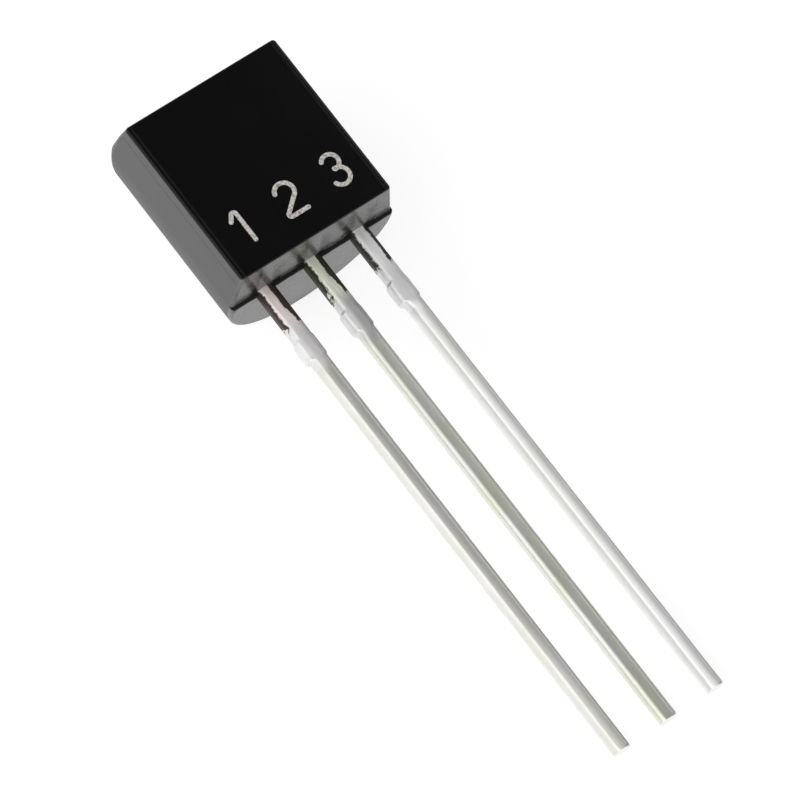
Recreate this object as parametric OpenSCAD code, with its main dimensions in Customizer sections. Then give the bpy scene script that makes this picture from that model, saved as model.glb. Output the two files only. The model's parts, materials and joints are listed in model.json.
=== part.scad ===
// Small-signal transistor in the three-lead moulded package with one flat face, in millimetres.
// It lies as it comes to rest when it is loose: on the rounded back at the leads' end of the body
// and on the tips of the outer leads, with its flat face up and its leads towards -Y.
// It is drawn upright in the package's own frame first: X across the flat face, Y from the leads'
// end to the far end of the body, Z out of the flat face, with y = 0 and z = 0 at that face's edge.

/* [Body] */
// Width of the body at the mould's parting line
body_w = 4.40; // [4.30:0.05:5.20]
// Width of the flat face
flat_w = 4.05; // [3.60:0.05:4.15]
// Height of the flat face, along the leads
body_h = 4.35; // [4.20:0.05:5.30]
// Distance from the flat face back to the parting line
flat_to_parting = 1.25; // [1.15:0.01:1.50]
// Straight part of each side between the parting line and the round back
side_straight = 0.15; // [0.02:0.01:0.40]
// Draft of the face at the leads' end, before the parting line, in degrees
lead_draft = 1.0; // [0.5:0.1:5]
// Draft of the far end face, before the parting line, in degrees
far_draft = 13.5; // [5:0.5:16]
// Draft of both end faces behind the parting line, in degrees
back_draft = 3.7; // [1:0.1:6]
// Radius along the two long edges of the flat face
flat_edge_r = 0.08; // [0.04:0.01:0.15]
// Radius of the two far corners, seen from the flat face
far_corner_r = 0.25; // [0.10:0.01:0.40]

/* [Marks of the mould] */
// How far the back half stands out past the front half at the leads' end
lead_ledge = 0.09; // [0.04:0.01:0.12]
// Diameter of the ejector pin's mark in the round back
ejector_d = 1.60; // [1.0:0.1:2.0]
// Depth of that mark below the crown of the back
ejector_depth = 0.16; // [0.13:0.01:0.25]
// Width of the broken-off gate on the far end face
gate_w = 0.90; // [0.5:0.05:1.2]
// Thickness of the gate, behind the parting line
gate_t = 0.22; // [0.12:0.01:0.30]
// How far the gate stands out of the far end face
gate_proud = 0.05; // [0.02:0.01:0.08]

/* [Leads] */
// Distance between neighbouring leads
lead_pitch = 1.27; // [1.22:0.01:1.35]
// Width of a lead
lead_w = 0.43; // [0.36:0.01:0.50]
// Thickness of the sheet that the lead frame is stamped from
lead_t = 0.38; // [0.34:0.01:0.45]
// Length of a lead from the body to its tip
lead_len = 13.00; // [8:0.1:16]
// Width of the thicker root of a lead, beside the body
root_w = 0.47; // [0.43:0.01:0.60]
// Length of the root from the body to the stub of the tie bar
root_len = 1.52; // [1.2:0.01:2.4]
// Length of the tie bar's sheared stub along the lead
stub_len = 0.46; // [0.3:0.01:0.6]
// How far each stub stands out of the root's side
stub_proud = 0.06; // [0.03:0.01:0.09]
// How far the lead frame's front face stands before the parting line
frame_proud = 0.08; // [0.04:0.01:0.14]

/* [Lead frame inside the body] */
// Length of the plain stems between the leads' end of the body and the bond posts
stem_len = 0.60; // [0.50:0.05:0.70]
// Radius of the notches that lock the stems in the moulding
lock_r = 0.10; // [0.06:0.01:0.12]
// Slot that the stamping leaves between two pieces of the frame
frame_gap = 0.30; // [0.24:0.01:0.36]
// Width of the base lead's bond post
base_post_w = 0.80; // [0.70:0.05:0.90]
// Height of the base lead's bond post
base_post_h = 0.70; // [0.60:0.05:0.80]
// Height of the emitter lead's bond post
emitter_post_h = 1.60; // [1.4:0.05:1.8]
// Width of the collector lead's paddle, which carries the chip
paddle_w = 2.00; // [1.8:0.05:2.1]
// Height of the paddle
paddle_h = 1.70; // [1.4:0.05:1.9]
// Radius at the corners of the posts and the paddle
stamp_r = 0.12; // [0.05:0.01:0.15]

/* [Chip and bond wires] */
// Side of the square silicon chip
chip_side = 0.50; // [0.40:0.01:0.60]
// Thickness of the chip
chip_t = 0.20; // [0.15:0.01:0.25]
// Thickness of the layer that fixes the chip to the paddle
attach_t = 0.02; // [0.02:0.01:0.04]
// How far that layer shows round the chip
attach_margin = 0.03; // [0.02:0.01:0.06]
// Diameter of a bond wire
wire_d = 0.038; // [0.030:0.002:0.050]
// Height of the wires' loops above the chip
loop_h = 0.26; // [0.20:0.01:0.32]
// Diameter of the pressed ball on the chip
ball_d = 0.09; // [0.08:0.01:0.12]
// Height of the pressed ball and of the foot on the post
ball_h = 0.020; // [0.015:0.005:0.03]
// Distance of a ball from the chip's centre line
pad_offset = 0.12; // [0.08:0.01:0.14]

/* [Hidden] */
// Segments of a full circle
arc_fn = 96;
// How far a cutting shape reaches past what it cuts
past = 0.5;
// Sides and loop steps of a bond wire, which is too thin for a true round
wire_sides = 8;
wire_steps = 18;

// The body's section
back_r = body_w / 2;
back_centre_z = -(flat_to_parting + side_straight);
body_depth = flat_to_parting + side_straight + back_r;
side_draft = atan((body_w - flat_w) / 2 / flat_to_parting);
edge_tangent = flat_edge_r / tan((90 + side_draft) / 2);

// The end faces lean out to the parting line and in again behind it
lead_flare = flat_to_parting * tan(lead_draft);
far_flare = flat_to_parting * tan(far_draft);
back_fall = (body_depth - flat_to_parting) * tan(back_draft);
lead_face_back_y = back_fall - lead_flare - lead_ledge;
far_face_back_y = body_h + far_flare - back_fall;

// The lead frame
frame_front_z = frame_proud - flat_to_parting;
frame_back_z = frame_front_z - lead_t;
lock_y = stem_len / 2;
post_y = stem_len;
base_post_top_y = post_y + base_post_h;
paddle_y = base_post_top_y + frame_gap;
stem_side_x = lead_pitch + root_w / 2;
paddle_left_x = stem_side_x - paddle_w;
emitter_post_w = stem_side_x + paddle_left_x - frame_gap;

// The chip and the ends of the wires
chip_x = paddle_left_x + paddle_w / 2;
chip_y = paddle_y + paddle_h / 2;
chip_base_z = frame_front_z + attach_t;
chip_top_z = chip_base_z + chip_t;
base_pad = [chip_x - pad_offset, chip_y - pad_offset];
emitter_pad = [chip_x - pad_offset, chip_y + pad_offset];
base_foot = [0, post_y + base_post_h / 2];
emitter_foot = [-(stem_side_x - emitter_post_w / 2), post_y + emitter_post_h * 0.75];

// At rest the lowest points are the crown of the back at the leads' end and the tips' back edges
rest_angle = atan2(body_depth + frame_back_z, lead_len + lead_face_back_y);
rest_lift = body_depth * cos(rest_angle) - lead_face_back_y * sin(rest_angle);
tip_reach_y = -lead_len * cos(rest_angle) - frame_front_z * sin(rest_angle);
crown_reach_y = far_face_back_y * cos(rest_angle) + body_depth * sin(rest_angle);
gate_reach_y = (body_h + far_flare + gate_proud) * cos(rest_angle)
    + (flat_to_parting + gate_t) * sin(rest_angle);
far_reach_y = max(crown_reach_y, gate_reach_y);

// Lays the upright part down as it rests, with the origin under the middle of its outline
module at_rest() {
    translate([0, -(tip_reach_y + far_reach_y) / 2, rest_lift])
        rotate([rest_angle, 0, 0])
            children();
}

// Across the body: the flat with its two rounded edges, the drafted sides and the round back
module section_outline() {
    side_x = flat_w / 2 + edge_tangent * sin(side_draft);
    side_z = -edge_tangent * cos(side_draft);
    front_x = flat_w / 2 - edge_tangent;
    polygon([
        [-front_x, 0], [front_x, 0], [side_x, side_z], [back_r, -flat_to_parting],
        [back_r, back_centre_z], [-back_r, back_centre_z], [-back_r, -flat_to_parting],
        [-side_x, side_z]
    ]);
    for (side = [-1, 1])
        translate([side * front_x, -flat_edge_r])
            circle(r = flat_edge_r, $fn = arc_fn);
    translate([0, back_centre_z])
        intersection() {
            circle(r = back_r, $fn = arc_fn);
            translate([-body_w, -body_w])
                square([2 * body_w, body_w]);
        }
}

// Along the body: the end faces, drafted both ways from the parting line, and the leads' end ledge
module side_outline() {
    polygon([
        [0, 0], [-lead_flare, -flat_to_parting], [-lead_flare - lead_ledge, -flat_to_parting],
        [lead_face_back_y, -body_depth], [far_face_back_y, -body_depth],
        [body_h + far_flare, -flat_to_parting], [body_h, 0]
    ]);
}

// What the mould's rounded far corners leave off, all through the body's depth
module far_corners() {
    for (side = [0, 1])
        mirror([side, 0, 0])
            translate([back_r - far_corner_r, body_h + far_flare - far_corner_r, -body_depth - past])
                linear_extrude(body_depth + 2 * past)
                    difference() {
                        square(far_corner_r + past);
                        circle(r = far_corner_r, $fn = arc_fn);
                    }
}

module body_blank() {
    intersection() {
        translate([0, body_h + past, 0])
            rotate([90, 0, 0])
                linear_extrude(body_h + 2 * past)
                    section_outline();
        translate([-body_w, 0, 0])
            rotate([90, 0, 90])
                linear_extrude(2 * body_w)
                    side_outline();
    }
}

module ejector_mark() {
    translate([0, body_h / 2, -body_depth - past])
        cylinder(d = ejector_d, h = past + ejector_depth, $fn = arc_fn);
}

module gate_stub() {
    translate([-gate_w / 2, body_h, -flat_to_parting - gate_t])
        cube([gate_w, far_flare + gate_proud, gate_t]);
}

// A rectangle from (x, y) with its corners rounded as a stamping die leaves them
module stamped_rect(x, y, w, h) {
    translate([x, y + stamp_r])
        square([w, h - 2 * stamp_r]);
    translate([x + stamp_r, y])
        square([w - 2 * stamp_r, h]);
    for (corner_x = [x + stamp_r, x + w - stamp_r])
        for (corner_y = [y + stamp_r, y + h - stamp_r])
            translate([corner_x, corner_y])
                circle(r = stamp_r, $fn = arc_fn);
}

// The lead, its root with the sheared stubs of the tie bar, and the stem inside the body
module lead_outline(x, stem_top_y) {
    stub_y = -root_len - stub_len;
    translate([x, 0])
        difference() {
            union() {
                translate([-lead_w / 2, -lead_len])
                    square([lead_w, lead_len]);
                translate([-root_w / 2, stub_y])
                    square([root_w, stem_top_y - stub_y]);
                translate([-root_w / 2 - stub_proud, stub_y])
                    square([root_w + 2 * stub_proud, stub_len]);
            }
            for (side = [-1, 1])
                translate([side * root_w / 2, lock_y])
                    circle(r = lock_r, $fn = arc_fn);
        }
}

module frame_sheet() {
    translate([0, 0, frame_back_z])
        linear_extrude(lead_t)
            children();
}

module emitter_lead_shape() {
    frame_sheet() {
        lead_outline(-lead_pitch, post_y + stamp_r);
        stamped_rect(-stem_side_x, post_y, emitter_post_w, emitter_post_h);
    }
}

module base_lead_shape() {
    frame_sheet() {
        lead_outline(0, post_y + stamp_r);
        stamped_rect(-base_post_w / 2, post_y, base_post_w, base_post_h);
    }
}

module collector_lead_shape() {
    frame_sheet() {
        lead_outline(lead_pitch, paddle_y + stamp_r);
        stamped_rect(paddle_left_x, paddle_y, paddle_w, paddle_h);
    }
}

module chip_attach_shape() {
    side = chip_side + 2 * attach_margin;
    translate([chip_x - side / 2, chip_y - side / 2, frame_front_z])
        cube([side, side, attach_t]);
}

module chip_shape() {
    translate([chip_x - chip_side / 2, chip_y - chip_side / 2, chip_base_z])
        cube([chip_side, chip_side, chip_t]);
}

// One ring of a wire: around centre, across a side vector and the vector that the tangent leaves
function ring(centre, side, ahead, tilt, r) = [
    for (k = [0:wire_sides - 1])
        let (turn = 360 * k / wire_sides)
        centre + r * cos(turn) * side
            + r * sin(turn) * (ahead * sin(tilt) - [0, 0, 1] * cos(tilt))
];

// A bond wire: the pressed ball on the chip, an arched loop and the pressed foot on the post
module bond_wire_shape(pad, foot) {
    span = norm(foot - pad);
    ahead = [(foot[0] - pad[0]) / span, (foot[1] - pad[1]) / span, 0];
    side = [ahead[1], -ahead[0], 0];
    start = [pad[0], pad[1], chip_top_z];
    end = [foot[0], foot[1], frame_front_z];
    lift = [0, 0, ball_h];
    rise = chip_top_z - frame_front_z;
    wire_r = wire_d / 2;
    ball_r = ball_d / 2;
    // Along the loop the centre moves ahead by a cosine and up by a sine, so both ends stand upright
    loop = [
        for (i = [0:wire_steps])
            let (t = 180 * i / wire_steps, share = (1 - cos(t)) / 2)
            let (slope_ahead = span * sin(t) / 2)
            let (slope_up = loop_h * cos(t) - rise * sin(t) / 2)
            ring(
                start + lift + ahead * span * share + [0, 0, loop_h * sin(t) - rise * share],
                side, ahead, atan2(slope_up, slope_ahead), wire_r
            )
    ];
    rings = concat(
        [ring(start, side, ahead, 90, ball_r), ring(start + lift, side, ahead, 90, ball_r)],
        loop,
        [ring(end + lift, side, ahead, -90, ball_r), ring(end, side, ahead, -90, ball_r)]
    );
    last = len(rings) - 1;
    walls = [
        for (i = [0:last - 1], k = [0:wire_sides - 1])
            let (a = i * wire_sides + k, b = i * wire_sides + (k + 1) % wire_sides)
            each [[a, b, b + wire_sides], [a, b + wire_sides, a + wire_sides]]
    ];
    caps = [
        [for (k = [wire_sides - 1:-1:0]) k],
        [for (k = [0:wire_sides - 1]) last * wire_sides + k]
    ];
    polyhedron(points = [for (r = rings) each r], faces = concat(walls, caps));
}

module base_wire_shape() {
    bond_wire_shape(base_pad, base_foot);
}

module emitter_wire_shape() {
    bond_wire_shape(emitter_pad, emitter_foot);
}

// The moulding fills everything round the lead frame, the chip and the wires
module moulded_body() {
    color([0.03, 0.03, 0.035])
        at_rest()
            difference() {
                union() {
                    difference() {
                        body_blank();
                        far_corners();
                        ejector_mark();
                    }
                    gate_stub();
                }
                emitter_lead_shape();
                base_lead_shape();
                collector_lead_shape();
                chip_attach_shape();
                chip_shape();
                base_wire_shape();
                emitter_wire_shape();
            }
}

module emitter_lead() {
    color([0.75, 0.76, 0.74])
        at_rest()
            emitter_lead_shape();
}

module base_lead() {
    color([0.75, 0.76, 0.74])
        at_rest()
            base_lead_shape();
}

module collector_lead() {
    color([0.75, 0.76, 0.74])
        at_rest()
            collector_lead_shape();
}

module chip() {
    color([0.30, 0.31, 0.36])
        at_rest()
            chip_shape();
}

module chip_attach() {
    color([0.70, 0.68, 0.60])
        at_rest()
            chip_attach_shape();
}

module base_wire() {
    color([0.90, 0.70, 0.25])
        at_rest()
            base_wire_shape();
}

module emitter_wire() {
    color([0.90, 0.70, 0.25])
        at_rest()
            emitter_wire_shape();
}

moulded_body();
emitter_lead();
base_lead();
collector_lead();
chip();
chip_attach();
base_wire();
emitter_wire();
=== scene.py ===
"""A small transistor that lies on its round back: its moulding, its tinned leads and the studio.

The body and the leads are made upright in the package's own frame, with X across the flat face,
Y from the leads' end to the far end and Z out of the flat face, and are laid down at the end.
"""
import json
import math
from collections import namedtuple

import bmesh
import bpy
from mathutils import Matrix, Vector, noise


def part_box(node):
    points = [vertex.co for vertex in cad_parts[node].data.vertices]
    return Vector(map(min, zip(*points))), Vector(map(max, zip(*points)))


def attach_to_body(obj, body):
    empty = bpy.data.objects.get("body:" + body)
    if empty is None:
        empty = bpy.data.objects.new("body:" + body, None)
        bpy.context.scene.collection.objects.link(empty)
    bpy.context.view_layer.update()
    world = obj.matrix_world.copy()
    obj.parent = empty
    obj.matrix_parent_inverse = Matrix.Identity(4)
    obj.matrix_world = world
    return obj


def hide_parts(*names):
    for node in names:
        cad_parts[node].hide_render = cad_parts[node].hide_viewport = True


MM = 0.001

# Moulded body
FLAT_WIDTH = 4.05 * MM
BODY_HEIGHT = 4.35 * MM
PARTING_DEPTH = 1.25 * MM
SIDE_STRAIGHT = 0.15 * MM
LEAD_DRAFT = math.radians(1.0)
FAR_DRAFT = math.radians(13.5)
BACK_DRAFT = math.radians(3.7)
LEAD_LEDGE = 0.09 * MM
CORNER_AT_FLAT = 0.11 * MM
CORNER_HALFWAY = 0.16 * MM
CORNER_AT_PARTING = 0.32 * MM
CORNER_AT_END = 0.07 * MM
CORNER_STEPS = 14
BACK_STEPS = 64

# The far corners' rounding fades between these of the round back's steps
FADE_START = 8
FADE_END = 18

# How far out a far corner's cutter reaches, in radii of the rounding
CUTTER_REACH = 4

# How far the skin stays inside the CAD's, and how far cutting shapes reach past what they cut
SKIN = 0.001 * MM
PAST = 0.5 * MM

# Corners closer than these are merged: after a cut, and in a mesh from the CAD
MERGE_DISTANCE = 0.0002 * MM
SAME_POINT = 0.00001 * MM

# Faces of a CAD mesh that turn by less than this are one flat face
FLAT_ENOUGH = math.radians(0.5)

# Rounding of the body's edges, as shares of the widest one
WIDEST_ROUND = 0.085 * MM
FLAT_SIDE_SHARE = 0.80
FLAT_END_SHARE = 0.53
LEDGE_SHARE = 0.38
ROUND_STEPS = 4

# Edges that turn by less stay as they are, and faces whose normals have more Y are end faces
LEAST_TURN = math.radians(40)
END_FACE_Y = 0.9

# Marks of the mould
CREASE_BELOW_FLAT = 0.33 * MM
CREASE_WIDTH = 0.05 * MM
CREASE_DEPTH = 0.010 * MM
EJECTOR_DIAMETER = 1.60 * MM
EJECTOR_DEPTH = 0.16 * MM
EJECTOR_STEPS = 72
GATE_WIDTH = 0.90 * MM
GATE_THICKNESS = 0.22 * MM
GATE_PROUD = 0.05 * MM
GATE_ROUND = 0.015 * MM

# Leads
LEAD_PITCH = 1.27 * MM
LEAD_WIDTH = 0.43 * MM
SHEET_THICKNESS = 0.38 * MM
LEAD_LENGTH = 13.00 * MM
ROOT_WIDTH = 0.47 * MM
ROOT_LENGTH = 1.52 * MM
STUB_LENGTH = 0.46 * MM
STUB_PROUD = 0.06 * MM
STUB_RIGHT_CUT = 0.045 * MM
SHOULDER_RUN = 0.09 * MM
SHOULDER_STEPS = 5
FRAME_PROUD = 0.08 * MM
LEAD_ROUND = 0.15 * MM
SECTION_STEPS = 28
LOFT_STEP = 0.25 * MM
WAVE_SIZE = 0.004 * MM
WAVE_PITCH = 0.9 * MM
FRONT_WAVE_SHIFT = 7
TIP_RUN = 0.05 * MM
TIP_PINCH = 0.03 * MM
STEM_CUT = 0.10 * MM
STEM_OVERLAP = 0.05 * MM

# Pin numbers on the flat face
DIGIT_HEIGHT = 0.80 * MM
DIGIT_STROKE = 0.105 * MM
DIGIT_THICKNESS = 0.006 * MM
DIGIT_BASE = 0.62 * MM

# How far out the rings of a stroke's round cap lie, and the least of their radii, as shares of
# half the stroke
CAP_SHARES = (1.0, 0.85, 0.5, 0.15)
CAP_TIP = 0.02

# Each lead's place, the seed of its ripple, its colours and how its front turns. Among the colours
# are painted shade on the right half of the front near the body, a dark colour on the root's sides
# that is partly discolouring and partly painted shade, with how far it spreads over the front's
# right half, and painted shade along the right edge. The collector lead's plain and warm colours
# are paler than the other leads' as painted light. The twist is the slope by which the front turns
# to the left, the lift is what that gains towards the tip, and the curl is how fast it falls off to
# the right, for each mm.
Lead = namedtuple("Lead", (
    "node", "x", "seed", "plain", "warm", "collar", "root_tint", "stain", "edge_tone",
    "blot", "twist", "lift", "curl",
))
LEADS = (
    Lead(
        node="emitter_lead", x=-LEAD_PITCH, seed=3.1,
        plain=(0.88, 0.87, 0.86, 1), warm=(0.83, 0.83, 0.76, 1),
        collar=(0.72, 0.70, 0.70, 1), root_tint=(0.93, 0.82, 0.78, 1), stain=(0.06, 0.04, 0.035, 1),
        edge_tone=(0.45, 0.45, 0.45, 1), blot=1.8, twist=0.22, lift=0.20, curl=1.2,
    ),
    Lead(
        node="base_lead", x=0.0, seed=17.4,
        plain=(0.86, 0.86, 0.82, 1), warm=(0.82, 0.83, 0.71, 1),
        collar=(0.52, 0.51, 0.51, 1), root_tint=(0.92, 0.94, 0.78, 1), stain=(0.05, 0.055, 0.035, 1),
        edge_tone=(0.50, 0.50, 0.46, 1), blot=1.1, twist=0.0, lift=0.08, curl=0.0,
    ),
    Lead(
        node="collector_lead", x=LEAD_PITCH, seed=29.8,
        plain=(0.95, 0.95, 0.95, 1), warm=(0.93, 0.93, 0.90, 1),
        collar=(0.84, 0.84, 0.85, 1), root_tint=(0.97, 0.98, 0.97, 1), stain=(0.06, 0.06, 0.055, 1),
        edge_tone=(0.55, 0.55, 0.55, 1), blot=0.0, twist=0.52, lift=0.0, curl=1.9,
    ),
)

# Camera, found by fitting the package's edges and leads to the photograph
CAMERA_ELEVATION = math.radians(58.85)
CAMERA_AZIMUTH = math.radians(-39.32)
CAMERA_ROLL = math.radians(2.56)
CAMERA_DISTANCE = 134.66 * MM
CAMERA_AIM = Vector((-0.5075, 0.1118, 2.0137)) * MM
CAMERA_LENS = 280.0
CAMERA_SENSOR = 36.0
CAMERA_CLIP = (0.005, 20.0)

# Studio
SKY_TILT = math.radians(40)
SKY_STOPS = ((0.0, 1.0), (0.25, 0.95), (0.50, 0.50), (0.80, 0.16), (1.0, 0.05))
FLOOR_SIZE = 2.0
FLOOR_PLAIN = (0.85, 0.85, 0.85, 1)
FLOOR_SEEN = (0.42, 0.42, 0.42, 1)
FLOOR_GLOW = 0.80
LAMP_DISTANCE = 0.30

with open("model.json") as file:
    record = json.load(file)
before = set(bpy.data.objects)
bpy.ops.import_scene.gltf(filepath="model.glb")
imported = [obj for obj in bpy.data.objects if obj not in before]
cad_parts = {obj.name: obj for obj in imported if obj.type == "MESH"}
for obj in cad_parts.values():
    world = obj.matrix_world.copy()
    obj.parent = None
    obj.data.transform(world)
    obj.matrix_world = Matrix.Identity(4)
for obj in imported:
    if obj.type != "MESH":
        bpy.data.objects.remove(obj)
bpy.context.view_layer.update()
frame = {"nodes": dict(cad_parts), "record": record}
body_low, body_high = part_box("moulded_body")
BODY_WIDTH = body_high.x - body_low.x
BACK_RADIUS = BODY_WIDTH / 2 - SKIN
BACK_CENTRE_Z = -(PARTING_DEPTH + SIDE_STRAIGHT)
BODY_DEPTH = BACK_RADIUS - BACK_CENTRE_Z
LEAD_FLARE = PARTING_DEPTH * math.tan(LEAD_DRAFT)
FAR_FLARE = PARTING_DEPTH * math.tan(FAR_DRAFT)
FRAME_MIDDLE_Z = FRAME_PROUD - PARTING_DEPTH - SHEET_THICKNESS / 2
STUB_WIDTH = ROOT_WIDTH + 2 * STUB_PROUD
SIDE_SLOPE = (BODY_WIDTH - FLAT_WIDTH) / 2 / PARTING_DEPTH


def package_frame():
    """The matrix that lays the upright package down, read from the flat face's mount."""
    mounts = frame["record"]["mounts"]
    flat = next(mount for mount in mounts if mount["name"] == "flat_front")
    out = Vector(flat["axis"]).normalized()
    across = Vector((1, 0, 0))
    along = out.cross(across)
    corner = Vector(flat["pos_m"]) - along * BODY_HEIGHT / 2
    return Matrix.Translation(corner) @ Matrix((across, along, out)).transposed().to_4x4()


PACKAGE = package_frame()


# Mesh helpers

def everything(bm):
    """All the geometry of a mesh."""
    return bm.verts[:] + bm.edges[:] + bm.faces[:]


def verts_in(geometry):
    """The vertices among some geometry."""
    return [part for part in geometry if isinstance(part, bmesh.types.BMVert)]


def edges_in(geometry):
    """The edges among some geometry."""
    return [part for part in geometry if isinstance(part, bmesh.types.BMEdge)]


def mended(bm):
    """The same solid without the coincident corners that cuts and joins leave."""
    bmesh.ops.remove_doubles(bm, verts=bm.verts, dist=MERGE_DISTANCE)
    bmesh.ops.dissolve_degenerate(bm, edges=bm.edges, dist=MERGE_DISTANCE)
    return bm


def trim(bm, point, outward):
    """Cuts off what lies past a plane and closes the cut."""
    cut = bmesh.ops.bisect_plane(
        bm, geom=everything(bm), plane_co=point, plane_no=outward, clear_outer=True
    )
    bmesh.ops.edgeloop_fill(bm, edges=edges_in(cut["geom_cut"]))


def object_from(bm, name):
    """A new object that holds the mesh, linked to the scene."""
    mesh = bpy.data.meshes.new(name)
    bm.to_mesh(mesh)
    bm.free()
    made = bpy.data.objects.new(name, mesh)
    bpy.context.scene.collection.objects.link(made)
    return made


def applied(made):
    """The object's mesh with its modifiers applied, as a bmesh. The object is removed."""
    depsgraph = bpy.context.evaluated_depsgraph_get()
    mesh = bpy.data.meshes.new_from_object(made.evaluated_get(depsgraph))
    bm = bmesh.new()
    bm.from_mesh(mesh)
    bpy.data.meshes.remove(mesh)
    bpy.data.objects.remove(made)
    return bm


def combined(bm, tool, operation):
    """One solid cut by, or joined to, another."""
    base = object_from(bm, "base")
    other = object_from(tool, "tool")
    boolean = base.modifiers.new("boolean", "BOOLEAN")
    boolean.operation = operation
    boolean.solver = "EXACT"
    boolean.object = other
    result = applied(base)
    bpy.data.objects.remove(other)
    return mended(result)


def upright_copy(node):
    """A merged copy of a CAD node's mesh, turned back into the upright package's frame."""
    bm = bmesh.new()
    bm.from_mesh(frame["nodes"][node].data)
    bmesh.ops.remove_doubles(bm, verts=bm.verts, dist=SAME_POINT)
    bmesh.ops.transform(bm, verts=bm.verts, matrix=PACKAGE.inverted())
    return bm


def true_flats(bm, sharp_angle):
    """The mesh with soft edges and flat flats, worked out at 1 mm to a metre.

    The modifier that weighs the normals passes over faces as small as this part's.
    """
    bmesh.ops.scale(bm, verts=bm.verts, vec=(1 / MM, 1 / MM, 1 / MM))
    for face in bm.faces:
        face.smooth = True
    large = object_from(bm, "large")
    large.data.set_sharp_from_angle(angle=math.radians(sharp_angle))
    weighted = large.modifiers.new("true_flats", "WEIGHTED_NORMAL")
    weighted.keep_sharp = True
    depsgraph = bpy.context.evaluated_depsgraph_get()
    mesh = bpy.data.meshes.new_from_object(large.evaluated_get(depsgraph))
    bpy.data.objects.remove(large)
    mesh.transform(Matrix.Scale(MM, 4))
    return mesh


def laid_piece(bm, name, sharp_angle=35):
    """Lays an upright solid down and makes it a piece."""
    mesh = true_flats(bm, sharp_angle)
    mesh.transform(PACKAGE)
    mesh.name = name
    piece = bpy.data.objects.new(name, mesh)
    bpy.context.scene.collection.objects.link(piece)
    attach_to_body(piece, "root")
    return piece


# Moulded body

def d_section(bm):
    """The section across the body as one face at y = 0: a round back and a flat front."""
    start = bm.verts.new((BACK_RADIUS, 0, BACK_CENTRE_Z))
    turned = bmesh.ops.spin(
        bm, geom=[start], cent=(0, 0, BACK_CENTRE_Z), axis=(0, 1, 0),
        angle=math.pi, steps=BACK_STEPS,
    )
    end = verts_in(turned["geom_last"])[0]
    corners = [
        (-BACK_RADIUS, -PARTING_DEPTH), (-FLAT_WIDTH / 2, 0),
        (FLAT_WIDTH / 2, 0), (BACK_RADIUS, -PARTING_DEPTH),
    ]
    chain = [end] + [bm.verts.new((x, 0, z)) for x, z in corners] + [start]
    for first, second in zip(chain, chain[1:]):
        bm.edges.new((first, second))
    bmesh.ops.edgeloop_fill(bm, edges=bm.edges)


def leaning(angle, toward_y, toward_z):
    """The outward normal of an end face that leans by its draft."""
    return (0, toward_y * math.cos(angle), toward_z * math.sin(angle))


def body_half(front):
    """One mould half's share of the body: the section drawn out along Y and cut by its planes."""
    bm = bmesh.new()
    d_section(bm)
    bmesh.ops.translate(bm, verts=bm.verts, vec=(0, -PAST, 0))
    grown = bmesh.ops.extrude_face_region(bm, geom=bm.faces[:])
    length = BODY_HEIGHT + 2 * PAST
    bmesh.ops.translate(bm, verts=verts_in(grown["geom"]), vec=(0, length, 0))
    bmesh.ops.recalc_face_normals(bm, faces=bm.faces)
    if front:
        trim(bm, (0, 0, -PARTING_DEPTH), (0, 0, -1))
        trim(bm, (0, 0, 0), leaning(LEAD_DRAFT, -1, 1))
        trim(bm, (0, BODY_HEIGHT, 0), leaning(FAR_DRAFT, 1, 1))
    else:
        trim(bm, (0, 0, -PARTING_DEPTH), (0, 0, 1))
        trim(bm, (0, -LEAD_FLARE - LEAD_LEDGE, -PARTING_DEPTH), leaning(BACK_DRAFT, -1, -1))
        trim(bm, (0, BODY_HEIGHT + FAR_FLARE, -PARTING_DEPTH), leaning(BACK_DRAFT, 1, -1))
    mended(bm)
    bmesh.ops.recalc_face_normals(bm, faces=bm.faces)
    return bm


def edge_share(edge, front):
    """How round one edge of a half is, as a share of the widest rounding."""
    if edge.calc_face_angle(0) < LEAST_TURN:
        return 0.0
    highest = max(vert.co.z for vert in edge.verts)
    lowest = min(vert.co.z for vert in edge.verts)
    middle_y = (edge.verts[0].co.y + edge.verts[1].co.y) / 2
    if abs(highest + PARTING_DEPTH) + abs(lowest + PARTING_DEPTH) < SKIN:
        at_ledge = not front and middle_y < -LEAD_FLARE - LEAD_LEDGE / 2
        return LEDGE_SHARE if at_ledge else 0.0
    at_end = any(abs(face.normal.y) > END_FACE_Y for face in edge.link_faces)
    if not at_end:
        return FLAT_SIDE_SHARE
    return FLAT_END_SHARE if lowest > -WIDEST_ROUND else 1.0


def rounded_half(front):
    """A half of the body with its edges rounded, each by its own share."""
    bm = body_half(front)
    weights = bm.edges.layers.float.new("bevel_weight_edge")
    for edge in bm.edges:
        edge[weights] = edge_share(edge, front)
    half = object_from(bm, "half")
    bevel = half.modifiers.new("edges", "BEVEL")
    bevel.limit_method = "WEIGHT"
    bevel.width = WIDEST_ROUND
    bevel.segments = ROUND_STEPS
    bevel.profile = 0.5
    bevel.use_clamp_overlap = False
    return applied(half)


def corner_sections():
    """Depths below the flat, each with the far corners' radius there.

    The radius grows to the parting, is kept along the start of the round back and then fades.
    """
    sections = [
        (-PAST / 2, CORNER_AT_FLAT), (0, CORNER_AT_FLAT),
        (PARTING_DEPTH / 2, CORNER_HALFWAY), (PARTING_DEPTH, CORNER_AT_PARTING),
    ]
    for step in range(FADE_END + 1):
        depth = BACK_RADIUS * math.sin(math.pi * step / BACK_STEPS) - BACK_CENTRE_Z
        faded = max(0, step - FADE_START) / (FADE_END - FADE_START)
        sections.append((depth, CORNER_AT_PARTING + (CORNER_AT_END - CORNER_AT_PARTING) * faded))
    return sections


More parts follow.
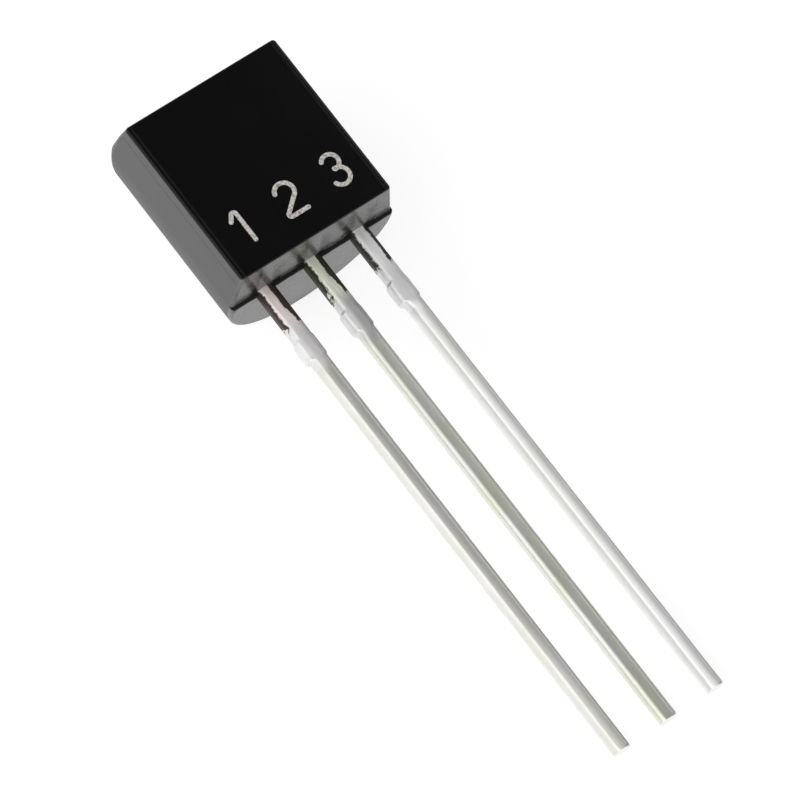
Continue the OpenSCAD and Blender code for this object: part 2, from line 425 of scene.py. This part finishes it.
def corner_centre(depth, radius):
    """The centre of a far corner's rounding, which touches the side and the far end."""
    if depth <= PARTING_DEPTH:
        side_x = FLAT_WIDTH / 2 + SIDE_SLOPE * depth
        far_y = BODY_HEIGHT + math.tan(FAR_DRAFT) * depth
    else:
        side_x = math.sqrt(BACK_RADIUS ** 2 - (depth + BACK_CENTRE_Z) ** 2)
        far_y = BODY_HEIGHT + FAR_FLARE - math.tan(BACK_DRAFT) * (depth - PARTING_DEPTH)
    inset = radius - SKIN
    return Vector((side_x - inset, far_y - inset, -depth))


def corner_cutter(side):
    """What the mould's round far corner leaves off: a loft outside the corner's sections."""
    bm = bmesh.new()
    sections = corner_sections()
    radius = sections[0][1]
    start = bm.verts.new((radius, 0, 0))
    turned = bmesh.ops.spin(
        bm, geom=[start], cent=(0, 0, 0), axis=(0, 0, 1), angle=math.pi / 2, steps=CORNER_STEPS
    )
    end = verts_in(turned["geom_last"])[0]
    reach = CUTTER_REACH * radius
    corners = [bm.verts.new((x, y, 0)) for x, y in ((0, reach), (reach, reach), (reach, 0))]
    chain = [end] + corners + [start]
    for first, second in zip(chain, chain[1:]):
        bm.edges.new((first, second))
    ring = bm.edges[:]
    bmesh.ops.edgeloop_fill(bm, edges=ring)
    bmesh.ops.translate(bm, verts=bm.verts, vec=corner_centre(*sections[0]))
    for before, here in zip(sections, sections[1:]):
        grown = bmesh.ops.extrude_edge_only(bm, edges=ring)
        ring = edges_in(grown["geom"])
        ratio = here[1] / before[1]
        for vert in verts_in(grown["geom"]):
            vert.co = corner_centre(*here) + (vert.co - corner_centre(*before)) * ratio
    bmesh.ops.edgeloop_fill(bm, edges=ring)
    bmesh.ops.scale(bm, verts=bm.verts, vec=(side, 1, 1))
    bmesh.ops.recalc_face_normals(bm, faces=bm.faces)
    return bm


def crease_bar(side):
    """The thin bar that cuts the faint line left by the mould's insert along one side."""
    bm = bmesh.new()
    bmesh.ops.create_cube(bm, size=1)
    overhang = 2 * FAR_FLARE
    length = BODY_HEIGHT + 2 * overhang
    bmesh.ops.scale(bm, verts=bm.verts, vec=(PAST, length, CREASE_WIDTH))
    lean = math.atan(SIDE_SLOPE)
    surface = FLAT_WIDTH / 2 + CREASE_BELOW_FLAT * SIDE_SLOPE
    bmesh.ops.rotate(bm, verts=bm.verts, matrix=Matrix.Rotation(side * lean, 3, "Y"))
    place = (side * (surface - CREASE_DEPTH + PAST / 2), BODY_HEIGHT / 2, -CREASE_BELOW_FLAT)
    bmesh.ops.translate(bm, verts=bm.verts, vec=place)
    return bm


def ejector_pin():
    """The pin that pushes the body out of the mould, where it meets the round back."""
    bm = bmesh.new()
    bmesh.ops.create_cone(
        bm, cap_ends=True, segments=EJECTOR_STEPS, radius1=EJECTOR_DIAMETER / 2,
        radius2=EJECTOR_DIAMETER / 2, depth=PAST + EJECTOR_DEPTH,
    )
    middle = -BODY_DEPTH + (EJECTOR_DEPTH - PAST) / 2
    bmesh.ops.translate(bm, verts=bm.verts, vec=(0, BODY_HEIGHT / 2, middle))
    return bm


def gate_stub():
    """The broken-off gate on the far end, where the compound was pressed in."""
    bm = bmesh.new()
    bmesh.ops.create_cube(bm, size=1)
    depth = FAR_FLARE + GATE_PROUD
    bmesh.ops.scale(bm, verts=bm.verts, vec=(GATE_WIDTH, depth, GATE_THICKNESS))
    outer = [
        edge for edge in bm.edges
        if all(vert.co.y > 0 for vert in edge.verts)
    ]
    bmesh.ops.bevel(
        bm, geom=outer, affect="EDGES", offset=GATE_ROUND, segments=2, profile=0.5,
        material=-1,
    )
    place = (0, BODY_HEIGHT + depth / 2, -PARTING_DEPTH - GATE_THICKNESS / 2)
    bmesh.ops.translate(bm, verts=bm.verts, vec=place)
    return bm


def moulding(leads):
    """The whole body: its two halves with their marks, and the hollows that its insides fill."""
    bm = combined(rounded_half(True), rounded_half(False), "UNION")
    for side in (-1, 1):
        bm = combined(bm, corner_cutter(side), "DIFFERENCE")
        bm = combined(bm, crease_bar(side), "DIFFERENCE")
    bm = combined(bm, ejector_pin(), "DIFFERENCE")
    bm = combined(bm, gate_stub(), "UNION")
    for lead in leads:
        bm = combined(bm, lead.copy(), "DIFFERENCE")
    for node in ("chip_attach", "chip", "base_wire", "emitter_wire"):
        bm = combined(bm, upright_copy(node), "DIFFERENCE")
    piece = laid_piece(bm, "body_moulding")
    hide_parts("moulded_body")
    return piece


# Leads

def eased(share):
    """A smooth rise from 0 to 1."""
    share = min(1, max(0, share))
    return 0.5 - 0.5 * math.cos(math.pi * share)


def half_width(y, side):
    """How far the lead reaches to one side at a place y, with a soft slope at each shoulder."""
    stub_start = -ROOT_LENGTH
    stub_end = stub_start - STUB_LENGTH
    stub = STUB_WIDTH / 2 - (STUB_RIGHT_CUT if side > 0 else 0)
    if y > (stub_start + stub_end) / 2:
        return stub + (ROOT_WIDTH / 2 - stub) * eased((y - stub_start) / SHOULDER_RUN)
    return stub + (LEAD_WIDTH / 2 - stub) * eased((stub_end - y) / SHOULDER_RUN)


def lead_stations():
    """The places along a lead where its loft has a ring, from inside the body to the tip."""
    stub_start = -ROOT_LENGTH
    stub_end = stub_start - STUB_LENGTH
    slope = [SHOULDER_RUN * step / SHOULDER_STEPS for step in range(SHOULDER_STEPS + 1)]
    places = [STEM_CUT + STEM_OVERLAP]
    places += [stub_start + run for run in slope[::-1]]
    places += [stub_end - run for run in slope]
    count = int((LEAD_LENGTH - TIP_RUN + places[-1]) / LOFT_STEP)
    run = (LEAD_LENGTH - TIP_RUN + places[-1]) / count
    plain = [places[-1] - run * (step + 1) for step in range(count)]
    return places + plain + [-LEAD_LENGTH]


def lead_loft(x, seed):
    """The part of a lead that shows: a rounded square section drawn along its stations."""
    bm = bmesh.new()
    bmesh.ops.create_circle(bm, segments=SECTION_STEPS, radius=LEAD_ROUND)
    half_step = Matrix.Rotation(math.pi / SECTION_STEPS, 4, "Z")
    upright = Matrix.Rotation(math.radians(90), 4, "X")
    bmesh.ops.transform(bm, verts=bm.verts, matrix=upright @ half_step)
    stations = lead_stations()
    rise = SHEET_THICKNESS / 2 - LEAD_ROUND
    spread = half_width(stations[0], 1) - LEAD_ROUND
    for vert in bm.verts:
        vert.co.x += math.copysign(spread, vert.co.x)
        vert.co.z += math.copysign(rise, vert.co.z)
    bmesh.ops.translate(bm, verts=bm.verts, vec=(0, stations[0], 0))
    ring = bm.edges[:]
    bmesh.ops.edgeloop_fill(bm, edges=ring)
    for before, here in zip(stations, stations[1:]):
        grown = bmesh.ops.extrude_edge_only(bm, edges=ring)
        ring = edges_in(grown["geom"])
        pinch = TIP_PINCH / 2 if here == -LEAD_LENGTH else 0
        for vert in verts_in(grown["geom"]):
            side = math.copysign(1, vert.co.x)
            vert.co.y = here
            vert.co.x += (half_width(here, side) - half_width(before, side) - pinch) * side
            vert.co.z -= pinch * math.copysign(1, vert.co.z)
    bmesh.ops.edgeloop_fill(bm, edges=ring)
    bmesh.ops.recalc_face_normals(bm, faces=bm.faces)
    ripple(bm, seed)
    bmesh.ops.translate(bm, verts=bm.verts, vec=(x, 0, FRAME_MIDDLE_Z))
    return bm


def pressed(place):
    """How far a lead's face is pressed in at a place of the noise."""
    return WAVE_SIZE * (0.5 + 0.5 * noise.noise(place))


def ripple(bm, seed):
    """Presses the plain part of a lead in by a few thousandths, as drawn and plated wire is."""
    start = -ROOT_LENGTH - STUB_LENGTH - 2 * SHOULDER_RUN
    for vert in bm.verts:
        if vert.co.y < start:
            place = Vector((seed, vert.co.y / WAVE_PITCH, 0))
            right = math.copysign(1, vert.co.x)
            upper = math.copysign(1, vert.co.z)
            vert.co.x -= right * pressed(place + Vector((0, 0, right)))
            vert.co.z -= upper * pressed(place + Vector((0, FRONT_WAVE_SHIFT, upper)))


def lead_solid(node, x, seed):
    """A whole lead, upright: the CAD stem and post inside the body, and the loft outside it."""
    inner = upright_copy(node)
    bmesh.ops.dissolve_limit(inner, angle_limit=FLAT_ENOUGH, verts=inner.verts, edges=inner.edges)
    trim(inner, (0, STEM_CUT, 0), (0, -1, 0))
    return combined(inner, lead_loft(x, seed), "UNION")


# Pin numbers

def arc(centre_x, centre_y, radius, start, end, steps=14):
    """Points along an arc, in shares of the digit's height, with the angles in degrees."""
    points = []
    for step in range(steps + 1):
        turn = math.radians(start + (end - start) * step / steps)
        points.append((centre_x + radius * math.cos(turn), centre_y + radius * math.sin(turn)))
    return points


def digit_strokes(digit):
    """The strokes of a plain 1, 2 or 3, in shares of its height, with x = 0 at its middle."""
    if digit == 1:
        bend = arc(0.02, 0.92, 0.08, 120, 0, 6)
        return [[(-0.17, 0.77)] + bend + [(0.10, 0.0)]]
    if digit == 2:
        top = arc(0.0, 0.72, 0.28, 165, -38)
        foot = arc(-0.24, 0.07, 0.07, 142, 270, 6)
        return [top + foot + [(0.29, 0.0)]]
    upper = arc(-0.01, 0.755, 0.245, 150, -90)
    lower = arc(-0.01, 0.27, 0.27, 95, -155)
    return [upper, lower]


def stroke_solid(points):
    """A round-ended bead along the points."""
    curve = bpy.data.curves.new("stroke", "CURVE")
    curve.dimensions = "3D"
    curve.bevel_depth = DIGIT_STROKE / 2
    curve.bevel_resolution = 3
    curve.use_fill_caps = True
    spaced = [Vector((x * DIGIT_HEIGHT, y * DIGIT_HEIGHT, 0)) for x, y in points]
    cap = DIGIT_STROKE / 2
    rings = [(cap * share, math.sqrt(1 - share ** 2)) for share in CAP_SHARES]
    head = (spaced[0] - spaced[1]).normalized()
    tail = (spaced[-1] - spaced[-2]).normalized()
    before = [(spaced[0] + head * run, radius) for run, radius in rings]
    after = [(spaced[-1] + tail * run, radius) for run, radius in rings]
    line = before + [(point, 1.0) for point in spaced] + after[::-1]
    spline = curve.splines.new("POLY")
    spline.points.add(len(line) - 1)
    for target, (point, radius) in zip(spline.points, line):
        target.co = (*point, 1)
        target.radius = max(radius, CAP_TIP)
    made = bpy.data.objects.new("stroke", curve)
    bpy.context.scene.collection.objects.link(made)
    return applied(made)


def pin_number(digit, x):
    """One generic pin number, laser-marked on the flat face above its lead and pressed flat."""
    strokes = [stroke_solid(points) for points in digit_strokes(digit)]
    bm = strokes[0]
    for stroke in strokes[1:]:
        bm = combined(bm, stroke, "UNION")
    bmesh.ops.scale(bm, verts=bm.verts, vec=(1, 1, 2 * DIGIT_THICKNESS / DIGIT_STROKE))
    bmesh.ops.translate(bm, verts=bm.verts, vec=(x, DIGIT_BASE, 0))
    return laid_piece(bm, "pin_number_%d" % digit, sharp_angle=60)


# Materials

class Wire:
    """The output of a node. Arithmetic on it adds a Math node."""

    def __init__(self, graph, socket):
        self.graph = graph
        self.socket = socket

    def maths(self, operation, first, second):
        """The result of a Math node."""
        return self.graph.node(
            "ShaderNodeMath", {"operation": operation}, {0: first, 1: second}
        )

    def __add__(self, other):
        return self.maths("ADD", self, other)

    def __radd__(self, other):
        return self.maths("ADD", other, self)

    def __sub__(self, other):
        return self.maths("SUBTRACT", self, other)

    def __rsub__(self, other):
        return self.maths("SUBTRACT", other, self)

    def __mul__(self, other):
        return self.maths("MULTIPLY", self, other)

    def __abs__(self):
        return self.maths("ABSOLUTE", self, 0.0)

    def larger(self, other):
        """The larger of two values."""
        return self.maths("MAXIMUM", self, other)


class Graph:
    """The nodes of one material or of the world."""

    def __init__(self, owner):
        owner.use_nodes = True
        self.tree = owner.node_tree
        self.tree.nodes.clear()

    def node(self, kind, settings, inputs, output=0):
        """Adds a node: its settings first, then a value or a link for each named socket."""
        made = self.tree.nodes.new(kind)
        for name, value in settings.items():
            if name == "stops":
                self.set_stops(made.color_ramp, value)
            else:
                setattr(made, name, value)
        for name, value in inputs.items():
            if isinstance(value, Wire):
                self.tree.links.new(value.socket, made.inputs[name])
            else:
                made.inputs[name].default_value = value
        return Wire(self, made.outputs[output]) if made.outputs else None

    def set_stops(self, ramp, stops):
        """Gives a colour ramp its stops, as pairs of a place and a grey."""
        while len(ramp.elements) < len(stops):
            ramp.elements.new(0.5)
        for element, (place, grey) in zip(ramp.elements, stops):
            element.position = place
            element.color = (grey, grey, grey, 1)

    def mix(self, factor, first, second):
        """A blend of two colours."""
        settings = {"data_type": "RGBA"}
        inputs = {"Factor": factor, 6: first, 7: second}
        return self.node("ShaderNodeMix", settings, inputs, 2)

    def upright_place(self):
        """Where a point of the surface lies in the upright package's frame, in metres."""
        place = self.node("ShaderNodeTexCoord", {}, {}, "Object")
        back = PACKAGE.inverted()
        inputs = {"Vector": place, "Location": back.translation, "Rotation": back.to_euler()}
        return self.node("ShaderNodeMapping", {"vector_type": "POINT"}, inputs)

    def axis(self, place, name):
        """One coordinate of a place."""
        return self.node("ShaderNodeSeparateXYZ", {}, {"Vector": place}, name)

    def stretched(self, place, scale):
        """The place scaled along each axis, so that a pattern is stretched."""
        return self.node("ShaderNodeMapping", {"vector_type": "POINT"}, {
            "Vector": place, "Scale": scale,
        })

    def speckle(self, place, scale, detail, roughness=0.5):
        """Soft noise from 0 to 1, where scale is the number of cells in a metre."""
        return self.node("ShaderNodeTexNoise", {}, {
            "Vector": place, "Scale": scale, "Detail": detail, "Roughness": roughness,
        })

    def step(self, value, start, end):
        """0 before start, 1 past end and a smooth rise between, also where end is the smaller."""
        settings = {"interpolation_type": "SMOOTHSTEP"}
        inputs = {"Value": value, "From Min": start, "From Max": end}
        return self.node("ShaderNodeMapRange", settings, inputs)

    def bump(self, height, distance, strength):
        """A normal that follows a height."""
        return self.node("ShaderNodeBump", {}, {
            "Height": height, "Distance": distance, "Strength": strength,
        })


def finish(name, build):
    """A new material whose Principled shader takes the sockets that build returns."""
    material = bpy.data.materials.new(name)
    graph = Graph(material)
    shader = graph.node("ShaderNodeBsdfPrincipled", {}, build(graph))
    graph.node("ShaderNodeOutputMaterial", {}, {"Surface": shader})
    return material


# Where the finishes change, each from where the change starts to where it is complete. On the
# body they are depths below the flat, places towards the leads, and distances from the middle.
SIDE_FROM = (0.03 * MM, 0.08 * MM)
LEAD_END_FROM = (-0.06 * MM, -0.01 * MM)
# The painted highlight just inside each side edge of the flat
HIGHLIGHT_LINE_MIDDLE = FLAT_WIDTH / 2 - 0.12 * MM
HIGHLIGHT_LINE_BLUR = 0.04 * MM
# The painted highlight along the sides' corner with the leads' end
CORNER_HIGHLIGHT_ACROSS = (FLAT_WIDTH / 2 - 0.10 * MM, FLAT_WIDTH / 2 - 0.04 * MM)
CORNER_HIGHLIGHT_TOWARDS = (-0.09 * MM, -0.03 * MM)
# The painted shade along the parting step at the leads' end
LEDGE_SHADE_FROM = (PARTING_DEPTH - 0.012 * MM, PARTING_DEPTH - 0.004 * MM)
LEDGE_SHADE_UNTIL = (PARTING_DEPTH + 0.012 * MM, PARTING_DEPTH + 0.034 * MM)
# Dark patches beside each lead, partly moulding flash and partly painted reflection of the leads
FLASH_AND_REFLECTION_FROM = (0.20 * MM, 0.55 * MM)
FLASH_AND_REFLECTION_UNTIL = (PARTING_DEPTH + 0.05 * MM, PARTING_DEPTH + 0.25 * MM)
FLASH_AND_REFLECTION_INNER = (0.13 * MM, 0.22 * MM)
FLASH_AND_REFLECTION_OUTER = (0.54 * MM, 0.34 * MM)

# On a lead they are places along it, from the body's edge, where those called BEYOND count
# outwards, and places across it, from its middle.
UPPER_FROM = (-2.5 * MM, -1.9 * MM)
TINT_FROM = (-1.35 * MM, -0.9 * MM)
STAIN_AND_SHADE_FROM = (-1.15 * MM, -1.0 * MM)
STAIN_AND_SHADE_SPREAD_FROM = (-1.0 * MM, -0.45 * MM)
PLAIN_BEYOND = (ROOT_LENGTH + STUB_LENGTH, 2.3 * MM)
LIFTED_BEYOND = (6.5 * MM, 12.5 * MM)
TIP_BEYOND = (LEAD_LENGTH - 0.012 * MM, LEAD_LENGTH - 0.004 * MM)
FRONT_FROM = (-0.14 * MM, 0.0)
STAIN_AND_SHADE_ACROSS = (0.128 * MM, 0.158 * MM)
RIGHT_EDGE = (LEAD_WIDTH / 2 - 0.10 * MM, LEAD_WIDTH / 2 - 0.01 * MM)
SHEARED_ACROSS = (STUB_WIDTH / 2 - 0.03 * MM, STUB_WIDTH / 2 - 0.012 * MM)

# Heights of the grain in the compound, the plating and the laser marks
COMPOUND_GRAIN = 0.0006 * MM
PLATING_GRAIN = 0.0030 * MM
MARK_GRAIN = 0.002 * MM


def flat_colour(graph, cloud, beside):
    """The polished flat: nearly black, with a faint painted highlight just inside each of its side
    edges.
    """
    tone = graph.mix(cloud, (0.0012, 0.0012, 0.0016, 1), (0.0024, 0.0023, 0.0026, 1))
    # A painted highlight: a faint paler band just inside each side edge
    line = graph.step(beside, HIGHLIGHT_LINE_MIDDLE - HIGHLIGHT_LINE_BLUR, HIGHLIGHT_LINE_MIDDLE)
    line = line - graph.step(beside, HIGHLIGHT_LINE_MIDDLE, HIGHLIGHT_LINE_MIDDLE + HIGHLIGHT_LINE_BLUR)
    return graph.mix(line, tone, (0.016, 0.016, 0.019, 1))


def flash_and_reflection_mask(graph, place, depth):
    """Where moulding flash and painted reflections of the leads darken the lead face, close to each
    lead and above it.
    """
    ragged = graph.speckle(place, 6500, 2, 0.6) - 0.5
    height = graph.step(depth + ragged * (1.4 * MM), *FLASH_AND_REFLECTION_FROM)
    height = height - graph.step(depth, *FLASH_AND_REFLECTION_UNTIL)
    mask = 0.0
    for lead in LEADS:
        beside = abs(graph.axis(place, "X") - lead.x)
        outer = graph.step(beside + ragged * (0.80 * MM), *FLASH_AND_REFLECTION_OUTER)
        inner = graph.step(beside + ragged * (0.30 * MM), *FLASH_AND_REFLECTION_INNER)
        mask = outer * inner + mask
    return mask * height


def side_colour_and_reflection(graph, place, cloud, paler_mask, lead_end):
    """The eroded sides, their grey partly painted reflection of the pale floor: a painted highlight
    at their corner with the leads' end, blotches, dark moulding flash with painted reflections of
    the leads, and painted shade along the parting step there.
    """
    depth = graph.axis(place, "Z") * -1
    # The sides' grey is partly their matte finish and partly painted reflection of the pale floor
    tone = graph.mix(cloud, (0.130, 0.130, 0.134, 1), (0.150, 0.149, 0.151, 1))
    # A painted highlight along the sides' corner with the leads' end
    tone = graph.mix(paler_mask, tone, (0.175, 0.174, 0.176, 1))
    blotches = graph.step(graph.speckle(place, 2600, 3, 0.6), 0.40, 0.62)
    tone = graph.mix(blotches * lead_end * 0.7, tone, (0.105, 0.116, 0.098, 1))
    # Dark patches beside each lead: partly moulding flash, partly painted reflection of the leads
    flash_and_reflection = flash_and_reflection_mask(graph, place, depth)
    tone = graph.mix(flash_and_reflection * lead_end, tone, (0.022, 0.019, 0.016, 1))
    # Painted shade: a dark band along the parting step at the leads' end
    ledge_shade = graph.step(depth, *LEDGE_SHADE_FROM) - graph.step(depth, *LEDGE_SHADE_UNTIL)
    return graph.mix(ledge_shade * lead_end, tone, (0.018, 0.018, 0.018, 1))


def moulding_sockets(graph):
    """Black epoxy compound: a dark polished flat, and greyer sides with a spark-eroded grain, their
    grey partly painted reflection of the pale floor.
    """
    place = graph.upright_place()
    depth = graph.axis(place, "Z") * -1
    towards_leads = graph.axis(place, "Y") * -1
    beside = abs(graph.axis(place, "X"))
    cloud = graph.speckle(place, 900, 3)
    grain = graph.speckle(place, 26000, 2)
    filler = graph.speckle(place, 9000, 1)
    side = graph.step(depth, *SIDE_FROM)
    lead_end = graph.step(towards_leads, *LEAD_END_FROM) * side
    # Painted highlight: where the front half's sides meet the leads' end
    paler_mask = graph.step(beside - depth * SIDE_SLOPE, *CORNER_HIGHLIGHT_ACROSS)
    paler_mask = paler_mask * graph.step(towards_leads, *CORNER_HIGHLIGHT_TOWARDS) * side
    side_tone_and_reflection = side_colour_and_reflection(graph, place, cloud, paler_mask, lead_end)
    return {
        "Base Color": graph.mix(side, flat_colour(graph, cloud, beside), side_tone_and_reflection),
        "Roughness": 0.16 + cloud * 0.05 + filler * 0.04 + side * 0.34 - lead_end * 0.28,
        "Specular IOR Level": 0.32,
        "IOR": 1.50,
        "Normal": graph.bump(grain * 0.7 + filler * 0.3, COMPOUND_GRAIN, 0.6),
    }


def root_stain_and_shade(graph, place, along, across, blot):
    """Where a root goes dark, partly discoloured and partly painted shade: on its sides, with ragged
    edges, and over the right half of its front.
    """
    blotches = graph.speckle(place, 7000, 2, 0.6) - 0.5
    to_right = across.larger(0.0) * (0.34 + graph.step(along, *STAIN_AND_SHADE_SPREAD_FROM) * blot)
    ragged = abs(across) * 0.83 + to_right + blotches * (0.13 * MM)
    near_body = graph.step(along + blotches * (0.9 * MM), *STAIN_AND_SHADE_FROM)
    return graph.step(ragged, *STAIN_AND_SHADE_ACROSS) * near_body


def lead_sockets(lead):
    """Tin plating over copper alloy: drawn streaks, olive patches, a paler, discoloured root, and
    painted shade on the root's sides, on the front's right half near the body and along the right
    edge.
    """
    def build(graph):
        place = graph.upright_place()
        along = graph.axis(place, "Y")
        outward = along * -1
        across = graph.axis(place, "X") - lead.x
        streaks = graph.speckle(graph.stretched(place, (1, 0.06, 1)), 22000, 3)
        patches = graph.speckle(graph.stretched(place, (1, 0.35, 1)), 2400, 3, 0.6)
        grain = graph.speckle(place, 30000, 2)
        upper = graph.step(along, *UPPER_FROM)
        plain = graph.step(outward, *PLAIN_BEYOND)
        colour = graph.mix(graph.step(patches, 0.38, 0.62), lead.plain, lead.warm)
        colour = graph.mix(upper, colour, (0.88, 0.87, 0.88, 1))
        # Painted shade: the right half of the front, from the body to the stub, takes a darker grey
        colour = graph.mix(graph.step(across, *FRONT_FROM) * upper, colour, lead.collar)
        tinted = graph.step(along, *TINT_FROM) * graph.step(streaks, 0.25, 0.55)
        colour = graph.mix(tinted, colour, lead.root_tint)
        # Partly discolouring, partly painted shade: the root's sides and the right half of its front
        # near the body go dark
        stained_and_shaded = root_stain_and_shade(graph, place, along, across, lead.blot)
        colour = graph.mix(stained_and_shaded, colour, lead.stain)
        # Painted shade along the right edge of the plain part
        colour = graph.mix(graph.step(across, *RIGHT_EDGE) * plain, colour, lead.edge_tone)
        sheared = graph.step(abs(across), *SHEARED_ACROSS)
        sheared = sheared.larger(graph.step(outward, *TIP_BEYOND))
        colour = graph.mix(sheared, colour, (0.93, 0.93, 0.92, 1))
        relief = (streaks * 0.5 + patches * 1.2 + grain * 0.25) * PLATING_GRAIN
        slope = lead.twist + graph.step(outward, *LIFTED_BEYOND) * lead.lift
        turned = across * slope - across * across * (lead.curl / 2 / MM)
        turned = turned * plain + across * (0.30 + patches * 0.40) * upper
        return {
            "Base Color": colour,
            "Metallic": 0.92 - upper * 0.32,
            "Roughness": 0.40 + streaks * 0.12 + sheared * 0.10,
            "Normal": graph.bump(relief + turned, 1.0, 0.8),
        }
    return build


def marking_sockets(graph):
    """Laser-marked compound: warm pale grey, broken up by the grain."""
    place = graph.upright_place()
    blotch = graph.speckle(place, 14000, 3, 0.6)
    warmth = graph.speckle(place, 1500, 1)
    pale = graph.mix(warmth, (0.86, 0.84, 0.80, 1), (0.92, 0.85, 0.79, 1))
    paler_mask = graph.step(blotch, 0.30, 0.62)
    return {
        "Base Color": graph.mix(paler_mask, (0.34, 0.33, 0.31, 1), pale),
        "Roughness": 0.75,
        "Normal": graph.bump(blotch, MARK_GRAIN, 0.6),
    }


def silicon_sockets(graph):
    """The chip: dark polished silicon, mottled with a paler grey."""
    place = graph.upright_place()
    cloud = graph.speckle(place, 12000, 2)
    return {
        "Base Color": graph.mix(cloud, (0.24, 0.25, 0.30, 1), (0.34, 0.35, 0.40, 1)),
        "Metallic": 0.6,
        "Roughness": 0.12 + cloud * 0.1,
    }


def metal_sockets(first, second, roughness):
    """A small bright metal part inside the body, with a little mottling."""
    def build(graph):
        place = graph.upright_place()
        cloud = graph.speckle(place, 20000, 2)
        return {
            "Base Color": graph.mix(cloud, first, second),
            "Metallic": 1.0,
            "Roughness": roughness + cloud * 0.1,
        }
    return build


def coat(target, material):
    """Gives an object one material."""
    target.data.materials.clear()
    target.data.materials.append(material)


# Studio

def direction(azimuth, elevation):
    """The direction from the part to a camera or lamp: azimuth 0 is -Y and 90 degrees is +X."""
    return Vector((
        math.sin(azimuth) * math.cos(elevation),
        -math.cos(azimuth) * math.cos(elevation),
        math.sin(elevation),
    ))


def camera():
    """The camera at the photograph's viewing angle."""
    back = direction(CAMERA_AZIMUTH, CAMERA_ELEVATION)
    level = Vector((0, 0, 1)).cross(back).normalized()
    above = back.cross(level)
    right = level * math.cos(CAMERA_ROLL) + above * math.sin(CAMERA_ROLL)
    up = back.cross(right)
    data = bpy.data.cameras.new("camera")
    data.sensor_width = CAMERA_SENSOR
    data.lens = CAMERA_LENS
    data.clip_start, data.clip_end = CAMERA_CLIP
    made = bpy.data.objects.new("camera", data)
    turn = Matrix((right, up, back)).transposed().to_4x4()
    made.matrix_world = Matrix.Translation(CAMERA_AIM + back * CAMERA_DISTANCE) @ turn
    bpy.context.scene.collection.objects.link(made)
    bpy.context.scene.camera = made


def floor():
    """A plain white floor that takes the object's shadow and shows white to the camera."""
    bm = bmesh.new()
    bmesh.ops.create_grid(bm, x_segments=1, y_segments=1, size=FLOOR_SIZE / 2)
    made = object_from(bm, "floor")
    material = bpy.data.materials.new("white_floor")
    graph = Graph(material)
    seen = graph.node("ShaderNodeLightPath", {}, {}, "Is Camera Ray")
    mirrored = graph.node("ShaderNodeLightPath", {}, {}, "Is Glossy Ray")
    through = graph.node("ShaderNodeLightPath", {}, {}, "Is Transmission Ray")
    plain = graph.node("ShaderNodeBsdfDiffuse", {}, {"Color": FLOOR_PLAIN})
    dim = graph.node("ShaderNodeBsdfDiffuse", {}, {"Color": FLOOR_SEEN})
    glow = graph.node("ShaderNodeEmission", {}, {"Color": (1, 1, 1, 1), "Strength": FLOOR_GLOW})
    white = graph.node("ShaderNodeAddShader", {}, {0: dim, 1: glow})
    shader = graph.node("ShaderNodeMixShader", {}, {
        "Fac": seen + mirrored + through, 1: plain, 2: white,
    })
    graph.node("ShaderNodeOutputMaterial", {}, {"Surface": shader})
    coat(made, material)


def sky():
    """The room around the table: white near the horizon, dim overhead and to the upper right."""
    world = bpy.data.worlds.new("studio")
    bpy.context.scene.world = world
    graph = Graph(world)
    outward = graph.node("ShaderNodeTexCoord", {}, {}, "Generated")
    upward = graph.axis(outward, "Z") * math.cos(SKY_TILT)
    height = upward + graph.axis(outward, "X") * math.sin(SKY_TILT)
    shade = graph.node("ShaderNodeValToRGB", {"stops": SKY_STOPS}, {"Fac": height})
    light = graph.node("ShaderNodeBackground", {}, {"Color": shade, "Strength": 1.0})
    graph.node("ShaderNodeOutputWorld", {}, {"Surface": light})


def lamp(name, azimuth, elevation, size, power):
    """A square soft lamp that faces the object from a direction given in degrees."""
    back = direction(math.radians(azimuth), math.radians(elevation))
    data = bpy.data.lights.new(name, "AREA")
    data.shape = "SQUARE"
    data.size = size
    data.energy = power
    made = bpy.data.objects.new(name, data)
    turn = back.to_track_quat("Z", "Y").to_matrix().to_4x4()
    made.matrix_world = Matrix.Translation(back * LAMP_DISTANCE) @ turn
    made.visible_camera = False
    bpy.context.scene.collection.objects.link(made)


def studio():
    """Camera, floor, room and lamps."""
    camera()
    floor()
    sky()
    lamp("left_lamp", azimuth=-75, elevation=32, size=0.20, power=0.12)
    lamp("right_lamp", azimuth=98, elevation=50, size=0.12, power=0.08)
    bpy.context.scene.view_settings.view_transform = "Standard"


# The part itself

def transistor():
    """Every piece of the part with its finish."""
    solids = []
    for lead in LEADS:
        solids.append(lead_solid(lead.node, lead.x, lead.seed))
    body = moulding(solids)
    coat(body, finish("black_compound", moulding_sockets))
    for solid, lead in zip(solids, LEADS):
        piece = laid_piece(solid, lead.node + "_tinned")
        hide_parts(lead.node)
        coat(piece, finish(lead.node + "_plating", lead_sockets(lead)))
    marking = finish("laser_marking", marking_sockets)
    for digit, lead in enumerate(LEADS, 1):
        coat(pin_number(digit, lead.x), marking)
    coat(frame["nodes"]["chip"], finish("polished_silicon", silicon_sockets))
    attach = metal_sockets((0.66, 0.65, 0.60, 1), (0.76, 0.75, 0.70, 1), 0.35)
    coat(frame["nodes"]["chip_attach"], finish("attach_alloy", attach))
    gold = finish("gold_wire", metal_sockets((0.88, 0.66, 0.24, 1), (0.95, 0.76, 0.34, 1), 0.2))
    for node in ("base_wire", "emitter_wire"):
        coat(frame["nodes"][node], gold)


studio()
transistor()
